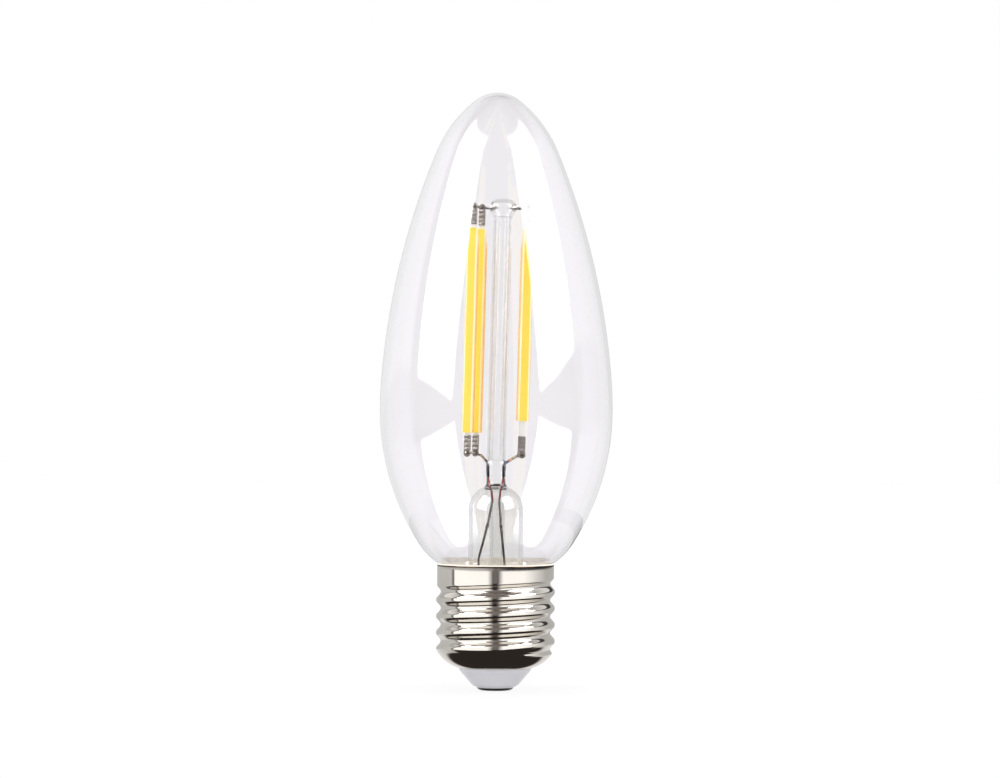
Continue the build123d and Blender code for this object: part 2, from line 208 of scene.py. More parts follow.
# Camera a little under the height of the lamp's middle, as far off as a product camera
view = {"place": (0.0008, -0.88, 0.0625), "target": (0.0008, 0, 0.0667), "lens": 142.9, "sensor": 36,
        "roll": 0.25, "near": 0.01}
bpy.ops.object.camera_add(location=view["place"])
camera = bpy.context.object
aim = Vector(view["target"]) - Vector(view["place"])
aimMatrix = aim.to_track_quat("-Z", "Y").to_matrix() @ Matrix.Rotation(radians(view["roll"]), 3, "Z")
camera.rotation_euler = aimMatrix.to_euler()
camera.data.lens = view["lens"]
camera.data.sensor_width = view["sensor"]
camera.data.clip_start = view["near"]
camera.data.dof.use_dof = False
bpy.context.scene.camera = camera
bpy.context.scene.view_settings.view_transform = "Standard"
bpy.context.scene.cycles.max_bounces = 32    # clear glass behind clear glass
bpy.context.scene.cycles.transmission_bounces = 32
bpy.context.scene.cycles.transparent_max_bounces = 16
bpy.context.scene.cycles.glossy_bounces = 8
print("camera set")


# Settings that many nodes share
product = {"operation": "MULTIPLY"}
total = {"operation": "ADD"}
larger = {"operation": "MAXIMUM"}
numbers = {"data_type": "FLOAT"}
colours = {"data_type": "RGBA"}

# White paper floor: what is mirrored looks through it at the studio drawn in the world
floorSize = {"width": 3.0, "back": 0.9, "drop": -0.00002, "tooth": 4, "glow": 0.85}
bpy.ops.object.select_all(action="DESELECT")
bpy.ops.mesh.primitive_plane_add(size=floorSize["width"], location=(0, floorSize["back"], floorSize["drop"]))
floorPlane = nameActive("floor")
bpy.ops.object.transform_apply(location=True)
paper, tree, shader, spot = newMaterial("matt white paper", {"Roughness": 0.9})    # pale, with a faint tooth
tooth = addNode(tree, "ShaderNodeTexNoise", {"Scale": 1 / (floorSize["tooth"] * mm), "Detail": 3},
                {"Vector": spot})
tone = addNode(tree, "ShaderNodeMix", {**colours, 6: hexColour("#F4F4F4"), 7: hexColour("#FAFAFA")},
               {0: tooth.outputs["Fac"]})
tree.links.new(tone.outputs[2], shader.inputs["Base Color"])
path = addNode(tree, "ShaderNodeLightPath").outputs
bounces = addNode(tree, "ShaderNodeMath", total, {0: path["Glossy Depth"], 1: path["Diffuse Depth"]})
mirrored = addNode(tree, "ShaderNodeMath", {"operation": "GREATER_THAN", 1: 0.5}, {0: bounces.outputs[0]})
direct = addNode(tree, "ShaderNodeMath", {**product, 1: floorSize["glow"]}, {0: path["Is Camera Ray"]})
share = addNode(tree, "ShaderNodeMath", larger, {0: direct.outputs[0], 1: path["Is Transmission Ray"]})
white = addNode(tree, "ShaderNodeEmission", {"Strength": 1.0})
sheet = addNode(tree, "ShaderNodeMixShader", None,
                {0: share.outputs[0], 1: shader.outputs[0], 2: white.outputs[0]})
clear = addNode(tree, "ShaderNodeBsdfTransparent")
either = addNode(tree, "ShaderNodeMixShader", None,
                 {0: mirrored.outputs[0], 1: sheet.outputs[0], 2: clear.outputs[0]})
tree.links.new(either.outputs[0], tree.nodes["Material Output"].inputs["Surface"])
floorPlane.data.materials.append(paper)


# A white card curved round each side of the cap, grey towards the back, with a flag on its upper edge: only
# the cap's polish mirrors them
lowCards = {"radius": 30, "foot": 6, "height": 33, "span": (3, 178), "steps": 90, "strength": 1.3,
            "flagFoot": 27, "flagEdge": 1, "flag": (0.5, 0.05), "flagBlend": 10}
cardLevels = ((-178, 0.4), (-78, 0.5), (-75, 0.1), (-72, 0.12), (-71, 1.0), (-12, 1.0), (-4, 0.09),
              (4, 0.09), (12, 1.0), (45, 1.0), (70, 0.66), (95, 0.42),
              (178, 0.4))    # degrees from the camera, share
cardWhite, tree, shader, spot = newMaterial("white card", {})    # lit to a level that changes round the cap
axes = addNode(tree, "ShaderNodeSeparateXYZ", None, {0: spot}).outputs
toCamera = addNode(tree, "ShaderNodeMath", {**product, 1: -1}, {0: axes["Y"]})
turn = addNode(tree, "ShaderNodeMath", {"operation": "ARCTAN2"}, {0: axes["X"], 1: toCamera.outputs[0]})
share = addNode(tree, "ShaderNodeMapRange", {"From Min": -pi, "From Max": pi}, {"Value": turn.outputs[0]})
ramp = addNode(tree, "ShaderNodeValToRGB", None, {"Fac": share.outputs["Result"]})
stops = ramp.color_ramp.elements
for i, (angle, level) in enumerate(cardLevels):
    stop = stops[i] if i < 2 else stops.new(0.5 + angle / 360)
    stop.position = 0.5 + angle / 360
    stop.color = (level, level, level, 1)
level = addNode(tree, "ShaderNodeMath", {**product, 1: lowCards["strength"]}, {0: ramp.outputs["Color"]})
flagSide = addNode(tree, "ShaderNodeMapRange",
                   {"From Min": -lowCards["flagBlend"] * mm, "From Max": lowCards["flagBlend"] * mm,
                    "To Min": lowCards["flag"][0], "To Max": lowCards["flag"][1]}, {"Value": axes["X"]})
onFlag = addNode(tree, "ShaderNodeMapRange",
                 {"From Min": lowCards["flagFoot"] * mm,
                  "From Max": (lowCards["flagFoot"] + lowCards["flagEdge"]) * mm}, {"Value": axes["Z"]})
cardLevel = addNode(tree, "ShaderNodeMix", numbers,
                    {0: onFlag.outputs["Result"], 2: level.outputs[0], 3: flagSide.outputs["Result"]})
glow = addNode(tree, "ShaderNodeEmission", None, {"Strength": cardLevel.outputs[0]})
tree.links.new(glow.outputs[0], tree.nodes["Material Output"].inputs["Surface"])
for name, side in (("left", -1), ("right", 1)):
    first, last = [radians(a) for a in lowCards["span"]]
    card = startPoint("card_" + name, 0, lowCards["foot"])
    bpy.ops.transform.translate(value=(side * sin(first) * lowCards["radius"] * mm,
                                       -cos(first) * lowCards["radius"] * mm, 0))
    bpy.ops.mesh.spin(steps=lowCards["steps"], angle=-side * (last - first), center=(0, 0, 0),
                      axis=(0, 0, 1))
    bpy.ops.mesh.select_all(action="SELECT")
    pushBy((0, 0, (lowCards["height"] - lowCards["foot"]) * mm))
    bpy.ops.object.mode_set(mode="OBJECT")
    card.data.materials.append(cardWhite)
    card.visible_camera = card.visible_diffuse = card.visible_shadow = card.visible_transmission = False


# The studio as the lamp mirrors it: two tall softboxes left and right of the camera that lean over the lamp,
# a pale sweep behind, a grey wall at the height of the lamp, nothing bright in front, above or below
studio = {"box": 12, "front": 0.2, "strip": 0.12, "sweep": (1.0, 0.84), "rightSweep": (1, 0.9),
          "overhead": (1, 0.35), "wall": (0.55, 0.86), "under": 0.03, "soft": (0.66, 1.2),
          "inGlass": (1, 1.6), "again": 1.1, "boxLean": (0, 0.966, 0.26), "backLean": (0, 1, -0.29),
          "wallSlope": (-0.03, 0, 1), "wallDrop": -0.3}
world = bpy.data.worlds.new("studio")
bpy.context.scene.world = world
world.use_nodes = True
sky = world.node_tree
sky.nodes.clear()
ray = addNode(sky, "ShaderNodeTexCoord").outputs["Generated"]    # the way that a ray leaves the scene
axes = addNode(sky, "ShaderNodeSeparateXYZ", None, {0: ray}).outputs
path = addNode(sky, "ShaderNodeLightPath").outputs
aside = addNode(sky, "ShaderNodeMath", {"operation": "ABSOLUTE"}, {0: axes["X"]}).outputs[0]
leaning = {}    # how far the ray goes along each leaning axis
for name in ("boxLean", "backLean", "wallSlope"):
    dot = addNode(sky, "ShaderNodeVectorMath", {"operation": "DOT_PRODUCT", 1: studio[name]}, {0: ray})
    leaning[name] = dot.outputs["Value"]
inside = addNode(sky, "ShaderNodeMath", total, {0: leaning["boxLean"], 1: aside}).outputs[0]
outward = addNode(sky, "ShaderNodeMath", {"operation": "MULTIPLY_ADD", 1: studio["wallDrop"]},
                  {0: aside, 2: leaning["wallSlope"]}).outputs[0]
roomEdges = {    # what each soft edge follows, where it starts and ends, and the levels on its two sides
    "pastInner": (inside, (0.0, 0.1), (0, 1)),    # inner edge of a softbox
    "offMiddle": (aside, (0.17, 0.27), (0, 1)),    # gap between the softboxes
    "belowTop": (axes["Z"], (0.77, 0.89), (1, 0)),    # upper edge of the softboxes
    "pastBack": (leaning["backLean"], (-0.13, -0.09), (0, 1)),    # outer edge of the softboxes
    "pastStrip": (leaning["backLean"], (0.04, 0.14), (0, 1)),    # dark strip between softbox and sweep
    "tableEdge": (axes["Z"], (-0.16, -0.07), (studio["under"], studio["front"])),
    "aboveFloor": (axes["Z"], (-0.6, -0.46), (0, 1)),
    "aboveWall": (outward, (-0.16, -0.12), (0, 1)),
}
roomSlopes = {    # the same for levels that change evenly
    "sweepDeep": (axes["Y"], (0.2, 1.0), studio["sweep"]),
    "sweepSide": (axes["X"], (-0.1, 0.1), studio["rightSweep"]),
    "sweepTop": (axes["Z"], (0.55, 0.9), studio["overhead"]),
    "wall": (axes["Y"], (0.1, 1.0), studio["wall"]),
    "soft": (axes["Z"], (-0.1, 0.1), studio["soft"]),
    "inGlass": (path["Transmission Depth"], (0, 1), studio["inGlass"]),
}
part = {}
for table, ease in ((roomEdges, "SMOOTHSTEP"), (roomSlopes, "LINEAR")):
    for name, (value, span, levels) in table.items():
        edge = addNode(sky, "ShaderNodeMapRange",
                       {"interpolation_type": ease, "From Min": span[0], "From Max": span[1],
                        "To Min": levels[0], "To Max": levels[1]}, {"Value": value})
        part[name] = edge.outputs["Result"]
boxWidth = addNode(sky, "ShaderNodeMath", product, {0: part["pastInner"], 1: part["offMiddle"]})
boxShare = addNode(sky, "ShaderNodeMath", product, {0: boxWidth.outputs[0], 1: part["belowTop"]})
ahead = addNode(sky, "ShaderNodeMix", {**numbers, 2: studio["front"], 3: studio["box"]},
                {0: boxShare.outputs[0]})
onRight = addNode(sky, "ShaderNodeMath", {"operation": "GREATER_THAN", 1: 0.0}, {0: axes["X"]})
sweepShare = addNode(sky, "ShaderNodeMath", larger, {0: part["pastStrip"], 1: onRight.outputs[0]})
sweepFlat = addNode(sky, "ShaderNodeMath", product, {0: part["sweepDeep"], 1: part["sweepSide"]})
sweep = addNode(sky, "ShaderNodeMath", product, {0: sweepFlat.outputs[0], 1: part["sweepTop"]})
behind = addNode(sky, "ShaderNodeMix", {**numbers, 2: studio["strip"]},
                 {0: sweepShare.outputs[0], 3: sweep.outputs[0]})
upper = addNode(sky, "ShaderNodeMix", numbers,
                {0: part["pastBack"], 2: ahead.outputs[0], 3: behind.outputs[0]})
middle = addNode(sky, "ShaderNodeMix", numbers,
                 {0: part["pastStrip"], 2: part["tableEdge"], 3: part["wall"]})
lower = addNode(sky, "ShaderNodeMix", {**numbers, 2: studio["under"]},
                {0: part["aboveFloor"], 3: middle.outputs[0]})
room = addNode(sky, "ShaderNodeMix", numbers,
               {0: part["aboveWall"], 2: lower.outputs[0], 3: upper.outputs[0]})
again = addNode(sky, "ShaderNodeMath", {"operation": "GREATER_THAN", 1: 1.5}, {0: path["Glossy Depth"]})
dimmed = addNode(sky, "ShaderNodeMath", {"operation": "MINIMUM", 1: studio["again"]}, {0: room.outputs[0]})
roomSeen = addNode(sky, "ShaderNodeMix", numbers,    # no softbox in a second mirror image
                   {0: again.outputs[0], 2: room.outputs[0], 3: dimmed.outputs[0]})
evenLight = addNode(sky, "ShaderNodeMath", product, {0: part["soft"], 1: part["inGlass"]})
polish = addNode(sky, "ShaderNodeMath", {"operation": "SUBTRACT"},
                 {0: path["Glossy Depth"], 1: path["Diffuse Depth"]})
mirrored = addNode(sky, "ShaderNodeMath", {"operation": "GREATER_THAN", 1: 0.5}, {0: polish.outputs[0]})
light = addNode(sky, "ShaderNodeMix", numbers,    # even light on matt faces
                {0: mirrored.outputs[0], 2: evenLight.outputs[0], 3: roomSeen.outputs[0]})
bounces = addNode(sky, "ShaderNodeMath", total, {0: path["Glossy Depth"], 1: path["Diffuse Depth"]})
clearWay = addNode(sky, "ShaderNodeMath", {"operation": "LESS_THAN", 1: 0.5}, {0: bounces.outputs[0]})
through = addNode(sky, "ShaderNodeMath", product, {0: clearWay.outputs[0], 1: path["Is Transmission Ray"]})
seen = addNode(sky, "ShaderNodeMath", larger, {0: path["Is Camera Ray"], 1: through.outputs[0]})
level = addNode(sky, "ShaderNodeMix", {**numbers, 3: 1.0},    # white where it is only looked at
                {0: seen.outputs[0], 2: light.outputs[0]})
warmth = addNode(sky, "ShaderNodeMapRange", {"From Min": 0.1, "From Max": 0.5}, {"Value": level.outputs[0]})
cast = addNode(sky, "ShaderNodeMix", {**colours, 6: hexColour("#FFE9E0"), 7: hexColour("#FFFFFF")},
               {0: warmth.outputs["Result"]})
background = addNode(sky, "ShaderNodeBackground", None,
                     {"Color": cast.outputs[2], "Strength": level.outputs[0]})
addNode(sky, "ShaderNodeOutputWorld", None, {"Surface": background.outputs[0]})
print("floor and light set")


# Blown soda-lime glass: clear, very smooth, with the slow ripple of a wall blown in a mould
envelopeGlass, tree, shader, spot = newMaterial("blown clear glass", {
    "Base Color": hexColour("#FEFDFF"), "IOR": 1.5, "Roughness": 0.0, "Transmission Weight": 1.0})
rippleSize = 14    # mm
ripple = addNode(tree, "ShaderNodeTexNoise", {"Scale": 1 / (rippleSize * mm), "Detail": 1}, {"Vector": spot})
bump = addNode(tree, "ShaderNodeBump", {"Strength": 0.05, "Distance": 0.1 * mm},
               {"Height": ripple.outputs["Fac"]})
tree.links.new(bump.outputs["Normal"], shader.inputs["Normal"])

# Drawn stem glass, softened in the flame: clear, with a slightly greyer cloud here and there in its
# thickness; the pillar shows its edges only half as strongly as the flare
stemGlasses = []
stemCloud = 9    # mm
for name, strength in (("drawn stem glass", 1.0), ("drawn pillar glass", 0.45)):
    material, tree, shader, spot = newMaterial(name, {
        "Roughness": 0.0, "IOR": 1.5, "Transmission Weight": 1.0, "Alpha": strength})
    cloud = addNode(tree, "ShaderNodeTexNoise", {"Scale": 1 / (stemCloud * mm), "Detail": 1},
                    {"Vector": spot})
    tone = addNode(tree, "ShaderNodeMix",
                   {**colours, 6: hexColour("#FEFEFD"), 7: hexColour("#FBFCFA")},
                   {0: cloud.outputs["Fac"]})
    tree.links.new(tone.outputs[2], shader.inputs["Base Color"])
    stemGlasses.append(material)
stemGlass, pillarGlass = stemGlasses

# Rolled brass sheet with polished nickel plate: a bright mirror, warm and cloudy, with a painted line of
# dark brown shade over the top of the rim
plate = {"cloud": 5, "edge": (27.4, 27.55), "gloss": (0.08, 0.1)}
nickel, tree, shader, spot = newMaterial("polished nickel plate", {"Metallic": 1.0})
cloud = addNode(tree, "ShaderNodeTexNoise", {"Scale": 1 / (plate["cloud"] * mm), "Detail": 4},
                {"Vector": spot})
tone = addNode(tree, "ShaderNodeMix", {**colours, 6: hexColour("#DDD7CF"), 7: hexColour("#EBE6DF")},
               {0: cloud.outputs["Fac"]})
axes = addNode(tree, "ShaderNodeSeparateXYZ", None, {0: spot}).outputs
# painted shade: the rim from just under its top edge upwards is dark brown, standing in for the shade in the
# gap under the glass
rimShadeBand = addNode(tree, "ShaderNodeMapRange",
                  {"From Min": plate["edge"][0] * mm, "From Max": plate["edge"][1] * mm},
                  {"Value": axes["Z"]})
rimShadeTone = addNode(tree, "ShaderNodeMix", {**colours, 7: hexColour("#6A574C")},
                   {0: rimShadeBand.outputs["Result"], 6: tone.outputs[2]})
tree.links.new(rimShadeTone.outputs[2], shader.inputs["Base Color"])
gloss = addNode(tree, "ShaderNodeMapRange", {"To Min": plate["gloss"][0], "To Max": plate["gloss"][1]},
                {"Value": cloud.outputs["Fac"]})
tree.links.new(gloss.outputs["Result"], shader.inputs["Roughness"])


def grainFinish(name, tones, grain, gloss, relief, settings):    # two tones in a grain of a real size in mm
    material, tree, shader, spot = newMaterial(name, settings)
    noise = addNode(tree, "ShaderNodeTexNoise", {"Scale": 1 / (grain * mm), "Detail": 3}, {"Vector": spot})
    tone = addNode(tree, "ShaderNodeMix",
                   {**colours, 6: hexColour(tones[0]), 7: hexColour(tones[1])},
                   {0: noise.outputs["Fac"]})
    tree.links.new(tone.outputs[2], shader.inputs["Base Color"])
    shine = addNode(tree, "ShaderNodeMapRange", {"To Min": gloss[0], "To Max": gloss[1]},
                    {"Value": noise.outputs["Fac"]})
    tree.links.new(shine.outputs["Result"], shader.inputs["Roughness"])
    bump = addNode(tree, "ShaderNodeBump", {"Strength": relief, "Distance": 0.05 * mm},
                   {"Height": noise.outputs["Fac"]})
    tree.links.new(bump.outputs["Normal"], shader.inputs["Normal"])
    return material


# Pressed opal moulding: cool white with a smooth, half glossy skin
whiteMoulding = grainFinish("glossy white moulding", ("#E6E5EC", "#EFEEF4"), 1.6, (0.24, 0.36), 0.03, {})
# Tinned brass, worn by the holder's tongue: dull grey with darker scuffs
tinned = grainFinish("dull tinned brass", ("#66666A", "#8B8A8C"), 0.8, (0.3, 0.5), 0.1, {"Metallic": 1.0})
# Baked cement: cream and gritty, with a painted glow (emission) that stands in for the light the glass of
# the neck leads down to it
cement = grainFinish("baked capping cement", ("#EFE7D6", "#F9F5EA"), 0.5, (0.8, 0.95), 0.4,
                     {"Emission Color": hexColour("#F6EFE0"), "Emission Strength": 0.5})
# Drawn nickel wire: bright grey with darker draw marks
nickelWire = grainFinish("drawn nickel wire", ("#8F8A85", "#CFC9C2"), 0.5, (0.18, 0.32), 0.05,
                         {"Metallic": 1.0})
# Iron lead wire with its dark oxide skin: nearly black, half dull
oxideWire = grainFinish("oxidised lead wire", ("#554E49", "#857B73"), 0.5, (0.4, 0.6), 0.1,
                        {"Metallic": 0.6})
# Copper clad wire, red with borated oxide where it is sealed in glass
redSeal = grainFinish("red oxide copper seal", ("#A03A34", "#C4605A"), 0.5, (0.3, 0.5), 0.1,
                      {"Metallic": 0.2})
# Plated steel strip crushed in the crimping tool: pale and darker grey at random in a fine grain
tabMetal = grainFinish("crimped plated steel", ("#837D77", "#B4AEA7"), 0.4, (0.34, 0.46), 0.08,
                       {"Metallic": 0.5})
# Fired alumina strip: warm white, dull
ceramic = grainFinish("white strip ceramic", ("#F8F6F0", "#FFFDF8"), 0.4, (0.4, 0.55), 0.05, {})
# Bare chip face: pale grey, glassy
chipFace = grainFinish("bare chip face", ("#DCE2E6", "#F0F2F4"), 0.2, (0.2, 0.3), 0.02, {})
# Solder mask on glass laminate: white with a faint grain
laminate = grainFinish("white board laminate", ("#DCDDD6", "#EDEEE8"), 0.6, (0.35, 0.5), 0.1, {})
# Shrunk plastic sleeve: nearly black, half glossy
canSleeve = grainFinish("capacitor sleeve", ("#2C2E33", "#3C3F45"), 0.8, (0.3, 0.45), 0.05, {})
# Moulding resin: black and dull with a fine spark-eroded grain
resin = grainFinish("black chip resin", ("#191A1B", "#26282A"), 0.3, (0.5, 0.7), 0.1, {})
# Lacquer over a ceramic body: grey green, half glossy
fuseCoat = grainFinish("fuse lacquer", ("#8FA39A", "#A7B8AF"), 0.4, (0.3, 0.45), 0.05, {})

# Phosphor in clear silicone under a glossy skin: yellow faces, a painted highlight in pale cream along the
# round corners, orange on the thick sides, and a painted glow (emission) that stands in for light and makes
# it brighter than paint
phosphor, tree, shader, spot = newMaterial("yellow phosphor silicone", {
    "Roughness": 0.5, "IOR": 1.45, "Coat Weight": 1.0, "Coat Roughness": 0.42, "Coat IOR": 1.5,
    "Emission Color": hexColour("#FFD93C"), "Emission Strength": 0.15})
phosphorGrain = 0.5    # mm, coarser than the real powder, so that it shows
grains = addNode(tree, "ShaderNodeTexNoise", {"Scale": 1 / (phosphorGrain * mm), "Detail": 3},
                 {"Vector": spot})
tone = addNode(tree, "ShaderNodeMix", {**colours, 6: hexColour("#FFDB34"), 7: hexColour("#FFE24C")},
               {0: grains.outputs["Fac"]})
corner = addNode(tree, "ShaderNodeAttribute", {"attribute_name": "cornerShare"})
# painted highlight: a pale cream line along the round corners of each jacket, standing in for the glossy
# skin mirroring the softboxes
paintedHighlightLine = addNode(tree, "ShaderNodeMapRange", {"From Min": 0.05, "From Max": 0.2},
                    {"Value": corner.outputs["Fac"]})
thickSide = addNode(tree, "ShaderNodeMapRange", {"From Min": 0.65, "From Max": 0.95},
                    {"Value": corner.outputs["Fac"]})
highlightTone = addNode(tree, "ShaderNodeMix", {**colours, 7: hexColour("#FFF4CC")},
                   {0: paintedHighlightLine.outputs["Result"], 6: tone.outputs[2]})
sideTone = addNode(tree, "ShaderNodeMix", {**colours, 7: hexColour("#FFBE48")},
                   {0: thickSide.outputs["Result"], 6: highlightTone.outputs[2]})
tree.links.new(sideTone.outputs[2], shader.inputs["Base Color"])
bump = addNode(tree, "ShaderNodeBump", {"Strength": 0.05, "Distance": 0.05 * mm},
               {"Height": grains.outputs["Fac"]})
tree.links.new(bump.outputs["Normal"], shader.inputs["Normal"])

# Nickel lead blued and browned by the flame that closed the press: the colours run outwards along the wire
heat = {"reach": 6, "wander": 0.6, "uneven": 0.2, "gloss": (0.18, 0.34)}
heatColours = ((0.0, "#5E5A58"), (0.36, "#545358"), (0.46, "#5A72B0"), (0.56, "#C6804A"), (0.66, "#DCC6A0"),
               (1.0, "#CFC8BC"))    # share of the reach, colour
heatTint, tree, shader, spot = newMaterial("heat tinted nickel wire", {"Metallic": 1.0})
flat = addNode(tree, "ShaderNodeVectorMath", {**product, 1: (1, 1, 0)}, {0: spot})
reach = addNode(tree, "ShaderNodeVectorMath", {"operation": "LENGTH"}, {0: flat.outputs[0]})
wander = addNode(tree, "ShaderNodeTexNoise", {"Scale": 1 / (heat["wander"] * mm), "Detail": 2},
                 {"Vector": spot})
uneven = addNode(tree, "ShaderNodeMapRange", {"To Min": -heat["uneven"] * mm, "To Max": heat["uneven"] * mm},
                 {"Value": wander.outputs["Fac"]})
place = addNode(tree, "ShaderNodeMath", total, {0: reach.outputs["Value"], 1: uneven.outputs["Result"]})
share = addNode(tree, "ShaderNodeMapRange", {"From Min": 0, "From Max": heat["reach"] * mm},
                {"Value": place.outputs[0]})
ramp = addNode(tree, "ShaderNodeValToRGB", None, {"Fac": share.outputs["Result"]})
stops = ramp.color_ramp.elements
for i, (position, code) in enumerate(heatColours):
    stop = stops[i] if i < 2 else stops.new(position)
    stop.position = position
    stop.color = hexColour(code)
tree.links.new(ramp.outputs["Color"], shader.inputs["Base Color"])
gloss = addNode(tree, "ShaderNodeMapRange", {"To Min": heat["gloss"][0], "To Max": heat["gloss"][1]},
                {"Value": wander.outputs["Fac"]})
tree.links.new(gloss.outputs["Result"], shader.inputs["Roughness"])
print("finishes made")


# Glass envelope: the outline is a chain of arcs, drawn outside down to the neck and back up inside
candle = {"height": 132.4, "belly": 25.8, "bellyZ": 62.0, "tip": 7.8, "tipAngle": 52.0,
          "shoulderAngle": 22.4, "above": 92.0, "aboveAngle": 4.6, "hipAngle": 33.2, "mouthAngle": 58.1,
          "throat": 2.7, "throatZ": 25.4, "neck": 11.0, "neckEnd": 15.5, "wall": 0.8,
          "fireRound": 0.3, "steps": 144}


def solvePair(a1, b1, c1, a2, b2, c2):    # a1*x + b1*y = c1 and a2*x + b2*y = c2
    share = a1 * b2 - a2 * b1
    return (c1 * b2 - c2 * b1) / share, (a1 * c2 - a2 * c1) / share


def way(angle):
    return Vector((cos(radians(angle)), sin(radians(angle))))


def candleArcs(c):    # centre, start, end and steps of each arc, tip to throat
    belly, shoulder, tip = way(c["aboveAngle"]), way(c["shoulderAngle"]), way(c["tipAngle"])
    side, shoulderRadius = solvePair(shoulder.x - belly.x, tip.x - shoulder.x,
                                     -c["belly"] - c["above"] * (belly.x - 1) + c["tip"] * tip.x,
                                     shoulder.y - belly.y, tip.y - shoulder.y,
                                     c["height"] - c["bellyZ"] - c["above"] * belly.y
                                     - c["tip"] * (1 - tip.y))
    hip, mouth = way(-c["hipAngle"]), way(-c["mouthAngle"])
    body, hipRadius = solvePair(hip.x - 1, mouth.x - hip.x,
                                c["neck"] - c["belly"] + c["throat"] * (1 - mouth.x),
                                -hip.y, hip.y - mouth.y, c["bellyZ"] - c["throatZ"] + c["throat"] * mouth.y)
    bellyCentre = Vector((c["belly"] - c["above"], c["bellyZ"]))
    sideCentre = bellyCentre + belly * (c["above"] - side)
    bodyCentre = Vector((c["belly"] - body, c["bellyZ"]))
    return [(Vector((0, c["height"] - c["tip"])), 90, c["tipAngle"], 10),
            (sideCentre + shoulder * (side - shoulderRadius), c["tipAngle"], c["shoulderAngle"], 10),
            (sideCentre, c["shoulderAngle"], c["aboveAngle"], 16),
            (bellyCentre, c["aboveAngle"], 0, 4),
            (bodyCentre, 0, -c["hipAngle"], 14),
            (bodyCentre + hip * (body - hipRadius), -c["hipAngle"], -c["mouthAngle"], 8),
            (Vector((c["neck"] + c["throat"], c["throatZ"])), -c["mouthAngle"], 0, 8)]


arcs = candleArcs(candle)
lowEnd = candle["neckEnd"] + candle["fireRound"]
envelope = startPoint("glass_envelope_blown", 0, candle["height"])
for centre, start, end, steps in arcs:
    arcRound(centre, start - end, steps)
lineTo(candle["neck"], lowEnd)
arcRound((candle["neck"] - candle["fireRound"], lowEnd), 90, 3)    # fire-polished end of the neck
lineTo(candle["neck"] - candle["wall"] + candle["fireRound"], candle["neckEnd"])
arcRound((candle["neck"] - candle["wall"] + candle["fireRound"], lowEnd), 90, 3)
lineTo(candle["neck"] - candle["wall"], candle["throatZ"])
for centre, start, end, steps in reversed(arcs):
    arcRound(centre, end - start, steps)
spinOutline(candle["steps"])
finishPiece(envelope, envelopeGlass, "clear_envelope_glass", ["glass_envelope"], 60)
print("glass envelope blown", len(envelope.data.polygons))


# Screw cap: the shell is turned from its outline, then the knuckle thread is rolled into it
cap = {"crestRadius": 13.15, "rimRadius": 12.95, "rimFoot": 22.8, "rimStep": 0.3, "height": 27.8,
       "pitch": 25.4 / 7, "depth": 1.1, "crest": 0.075, "startZ": 5.45, "runIn": 0.6, "turns": 4.95,
       "fade": 0.4, "lip": 8.1, "lipZ": 4.9, "bowlHeight": 4.1, "bulge": 0.66, "bowlTop": 9.0,
       "bowlSlope": 0.55, "wall": 0.3, "edgeRound": 0.1, "bore": 11.825, "boreFoot": 9.6,
       "innerBowl": (9.9, 6.6), "lipWall": 0.34, "mouthLow": 25.4, "mouthHigh": 26.0, "rolledTop": 26.2}
# The mesh that the thread is rolled into, and where the bowl, the thread and the rim run into one another
rolling = {"bowlRow": 0.12, "bowlRows": 25, "rows": 330, "steps": 200, "lipTop": 5.0, "bowlOnly": 6.9,
           "outside": 10.5, "outsideTop": 9.5, "overBore": 0.07, "near": 0.05, "rimBlend": 0.06,
           "bowlBlend": 0.35, "bowlBlendTop": 12, "threadBlend": 0.02}


def bowlRadius(z):    # the round bowl under the thread
    chord = sqrt((cap["crestRadius"] - cap["lip"]) ** 2 + cap["bowlHeight"] ** 2)
    alongX, alongZ = (cap["crestRadius"] - cap["lip"]) / chord, cap["bowlHeight"] / chord
    radius = (chord ** 2 / 4 + cap["bulge"] ** 2) / (2 * cap["bulge"])
    reach = radius - cap["bulge"]
    centreX = (cap["lip"] + cap["crestRadius"]) / 2 - alongZ * reach
    centreZ = cap["lipZ"] + cap["bowlHeight"] / 2 + alongX * reach
    low = min(z, cap["bowlTop"])    # straight on above the round part
    return centreX + sqrt(radius ** 2 - (low - centreZ) ** 2) + (z - low) * cap["bowlSlope"]


def softLess(a, b, blend):    # the smaller of two radii with a rounded join
    share = max(0, min(1, 0.5 + 0.5 * (b - a) / blend))
    return b * (1 - share) + a * share - blend * share * (1 - share)


def threadRadius(angle, z):
    turn = angle / (2 * pi)
    count = (z - cap["startZ"]) / cap["pitch"] - turn
    along = floor(count + 0.5) + turn    # turns from the start of the nearest groove
    off = z - cap["startZ"] - along * cap["pitch"]
    runOut = cap["turns"] + cap["fade"] - along
    deep = max(0, min(1, (along - cap["runIn"]) / cap["fade"], runOut / cap["fade"]))
    deep = deep * deep * (3 - 2 * deep)
    groove = cap["depth"] * deep * (0.5 + 0.5 * cos(2 * pi * off / cap["pitch"]))
    rise = max(0, min(1, (z - cap["rimFoot"] + cap["rimStep"]) / cap["rimStep"]))
    land = cap["crestRadius"] - (cap["crestRadius"] - cap["rimRadius"]) * rise
    return softLess(cap["crestRadius"] + cap["crest"] - groove, land, rolling["rimBlend"])


